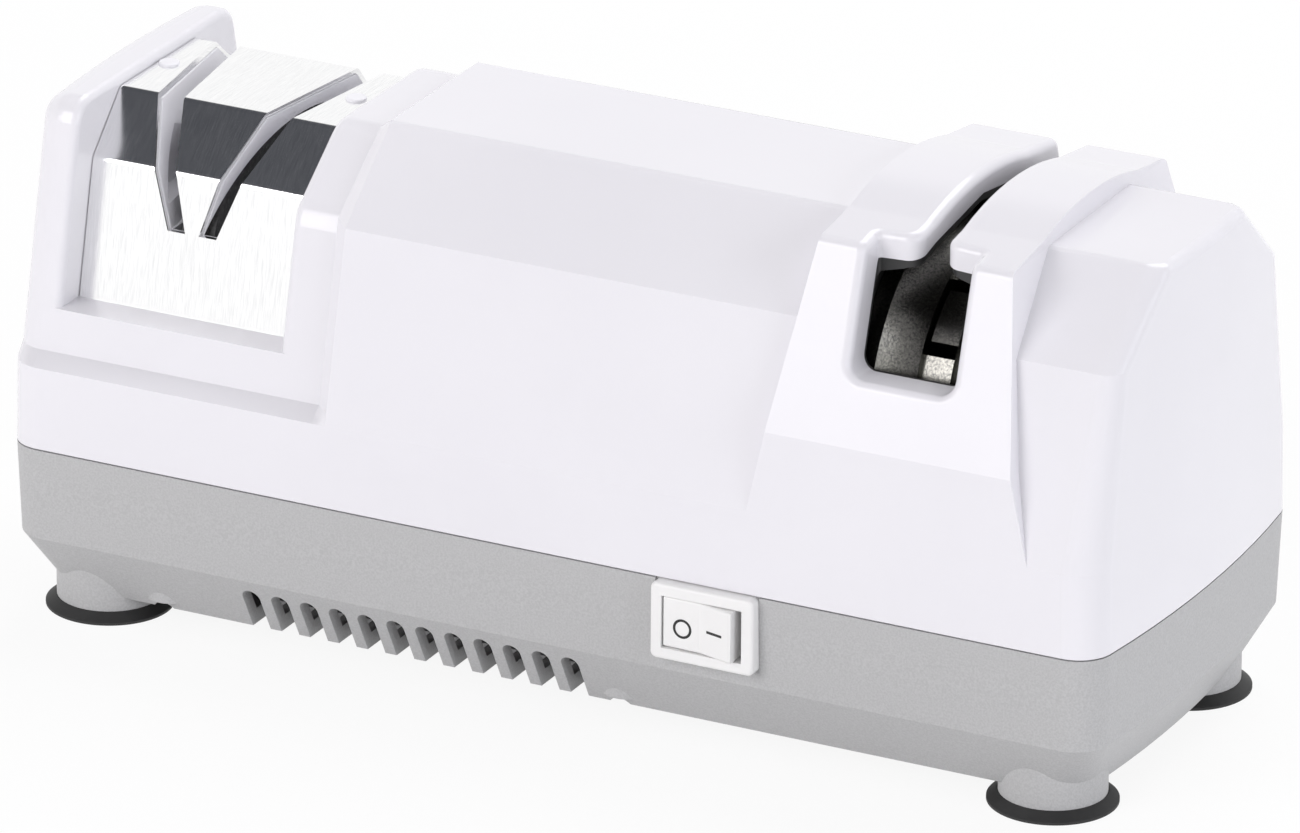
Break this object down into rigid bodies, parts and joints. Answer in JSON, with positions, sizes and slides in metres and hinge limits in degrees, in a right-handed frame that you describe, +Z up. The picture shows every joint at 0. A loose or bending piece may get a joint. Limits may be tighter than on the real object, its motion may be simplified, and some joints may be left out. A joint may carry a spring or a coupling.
{
  "type": "electric knife sharpener",
  "caption": "White electric knife sharpener on a grey base with suction feet: slanted blade slots over a steel guide plate at one end, a slotted bridge over honing wheels at the other.",
  "frame": {"origin": "centre of the footprint, on the worktop the feet stand on", "axes": "+X along the length from the grinding station to the honing station, +Y from the switch side to the back, +Z up"},
  "size_m": [0.2302, 0.0948, 0.107],
  "materials": {
    "white_gloss": "smooth gloss white moulding",
    "grey_texture": "fine spark-eroded grey texture",
    "brushed_plate": "stainless sheet brushed along the length",
    "white_insert": "satin white moulding",
    "grinding_grit": "dark grit-coated steel",
    "honing_grit": "dark grit-filled compound",
    "black_plastic": "black satin moulding",
    "zinc_steel": "zinc-plated steel",
    "ground_steel": "ground steel",
    "motor_steel": "stacked motor laminations",
    "copper_winding": "varnished copper wire",
    "bronze_bearing": "sintered bronze",
    "switch_white": "satin white switch moulding",
    "black_rubber": "soft black rubber"
  },
  "bodies": {
    "housing": {"upper_housing": "white_gloss", "base_tray": "grey_texture", "guide_plate": "brushed_plate", "plate_rivets": "white_insert", "blade_guide": "white_insert", "honing_chamber": "black_plastic", "stator_core": "motor_steel", "stator_windings": "copper_winding", "stator_bolts": "zinc_steel", "stator_spacers": "zinc_steel", "motor_bracket_left": "zinc_steel", "motor_bracket_right": "zinc_steel", "bearing_left": "bronze_bearing", "bearing_right": "bronze_bearing", "bracket_screws": "zinc_steel", "case_screws": "zinc_steel", "switch_body": "switch_white", "switch_terminals": "bronze_bearing", "foot_front_left": "black_rubber", "foot_front_right": "black_rubber", "foot_back_left": "black_rubber", "foot_back_right": "black_rubber", "cord_gland": "black_plastic"},
    "rotor": {"motor_shaft": "ground_steel", "rotor_core": "motor_steel", "cooling_fan": "black_plastic", "grinding_wheel": "grinding_grit", "grinding_flanges": "zinc_steel", "shaft_nuts": "zinc_steel", "honing_spacer": "black_plastic", "honing_wheel_left": "honing_grit", "honing_wheel_right": "honing_grit"},
    "rocker": {"switch_rocker": "switch_white"}
  },
  "joints": [
    {"name": "shaft_spin", "type": "hinge", "parent": "housing", "child": "rotor", "pos_m": [0, 0, 0.066], "axis": [1, 0, 0], "continuous": true},
    {"name": "rocker_press", "type": "hinge", "parent": "housing", "child": "rocker", "pos_m": [0.0345, -0.04235, 0.0269], "axis": [0, 0, 1], "range_deg": [0, 16]}
  ]
}
